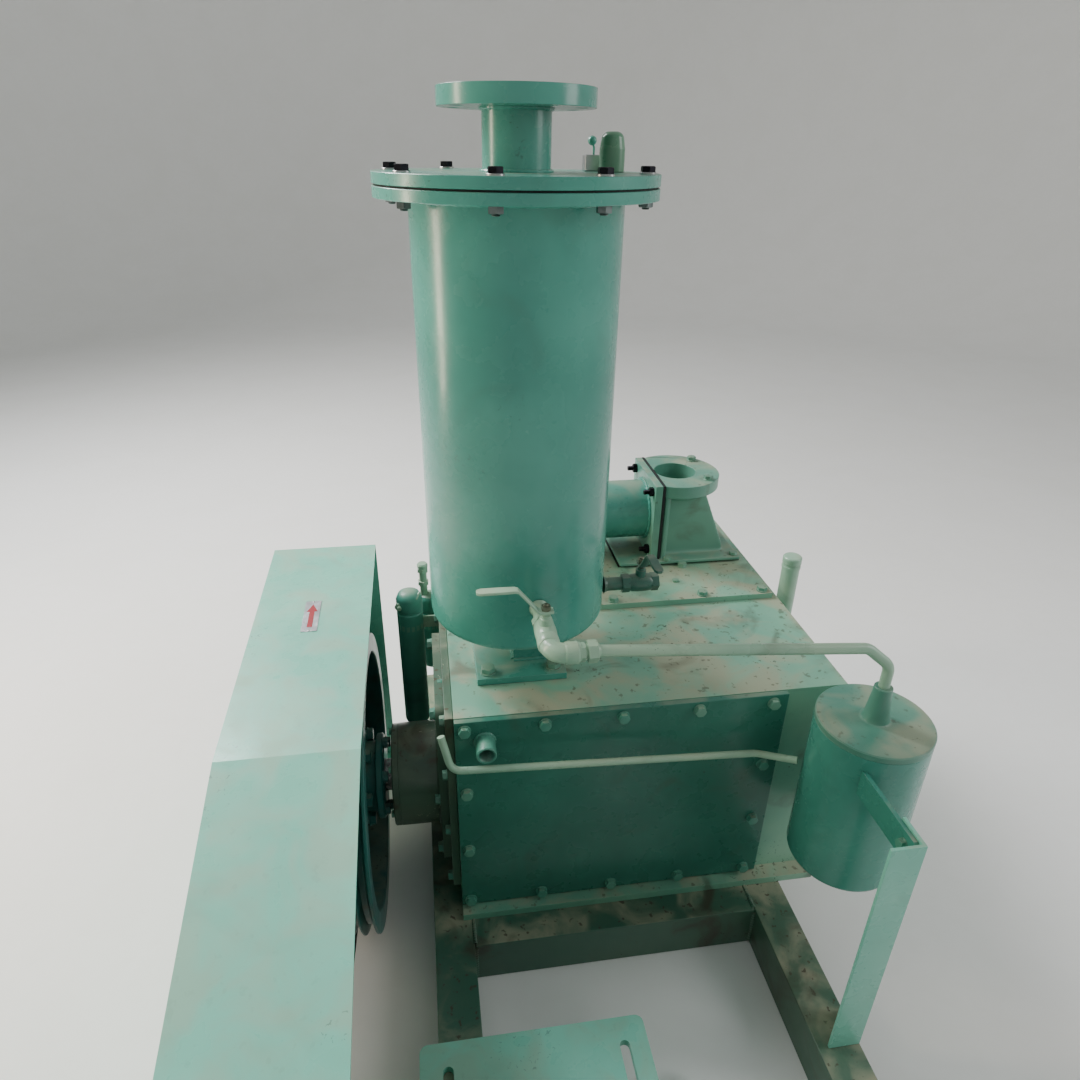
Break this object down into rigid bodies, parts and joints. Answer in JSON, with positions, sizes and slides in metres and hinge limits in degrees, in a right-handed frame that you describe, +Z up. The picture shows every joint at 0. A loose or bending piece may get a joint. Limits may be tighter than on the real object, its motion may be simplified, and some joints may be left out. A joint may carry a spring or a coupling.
{
  "type": "rotary vane vacuum pump",
  "caption": "Belt-driven rotary vane vacuum pump set on a steel skid, with an upright oil separator tank, oil filter, motor and belt guard.",
  "frame": {"origin": "underside of the skid's middle cross member, at the centre of the skid", "axes": "+Z up, +X along the pump shaft away from the belts, +Y from the motor towards the ports"},
  "size_m": [1.197, 1.7, 1.5756],
  "materials": {
    "painted_tank": "gloss machine enamel, sea green",
    "painted_casing": "gloss machine enamel with dust and grime",
    "painted_cover": "gloss machine enamel, dark sea green",
    "painted_guard": "gloss enamel on sheet, pale aqua green",
    "painted_skid": "worn enamel on rolled section",
    "painted_fittings": "thin enamel over fittings, grey green",
    "painted_motor": "gloss machine enamel",
    "painted_pulley": "enamel on cast iron",
    "cast_iron": "machined",
    "steel": "turned and ground",
    "rubber": "matt",
    "gasket": "matt sheet",
    "phenolic": "ground laminate",
    "filter_media": "pleated fibre"
  },
  "bodies": {
    "pump_set": {"ballast_filter": "painted_tank", "ballast_silencer": "painted_tank", "bearing_cap": "painted_casing", "bearing_housing": "painted_casing", "belt_guard": "painted_guard", "breather_pipe": "painted_fittings", "discharge_pipe": "painted_tank", "drain_valve": "painted_fittings", "drive_bearing": "steel", "drive_belt_1": "rubber", "drive_belt_2": "rubber", "drive_belt_3": "rubber", "filter_body": "painted_tank", "filter_element": "filter_media", "filter_lid": "painted_tank", "filter_post": "painted_guard", "flange_gasket": "gasket", "front_cover": "painted_cover", "front_valve": "painted_fittings", "left_end_cover": "painted_cover", "motor_fan_cowl": "painted_motor", "motor_frame": "painted_motor", "motor_plate": "painted_guard", "motor_terminal_box": "painted_motor", "port_casting": "painted_tank", "port_gasket": "gasket", "pump_casing": "painted_casing", "rear_bearing": "steel", "rear_bearing_cap": "painted_casing", "return_tube": "painted_fittings", "separator_element": "filter_media", "shaft_seal": "rubber", "skid_cross_middle": "painted_skid", "skid_cross_motor": "painted_skid", "skid_cross_rear": "painted_skid", "skid_rail_left": "painted_skid", "skid_rail_right": "painted_skid", "stator": "cast_iron", "stator_end_left": "cast_iron", "stator_end_right": "cast_iron", "suction_duct": "steel", "supply_tube": "painted_fittings", "tank_cover": "painted_tank", "tank_gasket": "gasket", "tank_shell": "painted_tank", "tank_stool": "painted_tank", "top_plate": "painted_casing"},
    "pump_rotor": {"pump_shaft": "steel", "rotor": "steel", "vane_1": "phenolic", "vane_2": "phenolic", "vane_3": "phenolic", "pump_pulley": "painted_pulley", "pulley_hub": "painted_pulley"},
    "motor_rotor": {"motor_shaft": "steel", "motor_pulley": "painted_pulley"},
    "front_lever": {"front_valve_lever": "painted_fittings"},
    "drain_lever": {"drain_valve_lever": "painted_fittings"},
    "breather_cap": {"breather_cap": "painted_fittings"},
    "relief_cap": {"relief_cap": "painted_tank"}
  },
  "joints": [
    {"name": "pump_spin", "type": "hinge", "parent": "pump_set", "child": "pump_rotor", "pos_m": [-0.3093, 0.2185, 0.3261], "axis": [1, 0, 0], "continuous": true},
    {"name": "motor_spin", "type": "hinge", "parent": "pump_set", "child": "motor_rotor", "pos_m": [-0.3093, -0.6565, 0.3156], "axis": [1, 0, 0], "continuous": true},
    {"name": "front_valve_turn", "type": "hinge", "parent": "pump_set", "child": "front_lever", "pos_m": [-0.1573, -0.0068, 0.8491], "axis": [0, 0, 1], "range_deg": [0, 90]},
    {"name": "drain_valve_turn", "type": "hinge", "parent": "pump_set", "child": "drain_lever", "pos_m": [0.061, 0.2085, 0.8011], "axis": [0, 0, 1], "range_deg": [0, 90]},
    {"name": "breather_cap_lift", "type": "slide", "parent": "pump_set", "child": "breather_cap", "axis": [0, 0, 1], "range_m": [0, 0.03]},
    {"name": "relief_cap_lift", "type": "slide", "parent": "pump_set", "child": "relief_cap", "axis": [0, 0, 1], "range_m": [0, 0.012]}
  ],
  "couplings": [
    {"joint": "motor_spin", "follows": "pump_spin", "ratio": 3.1126}
  ]
}
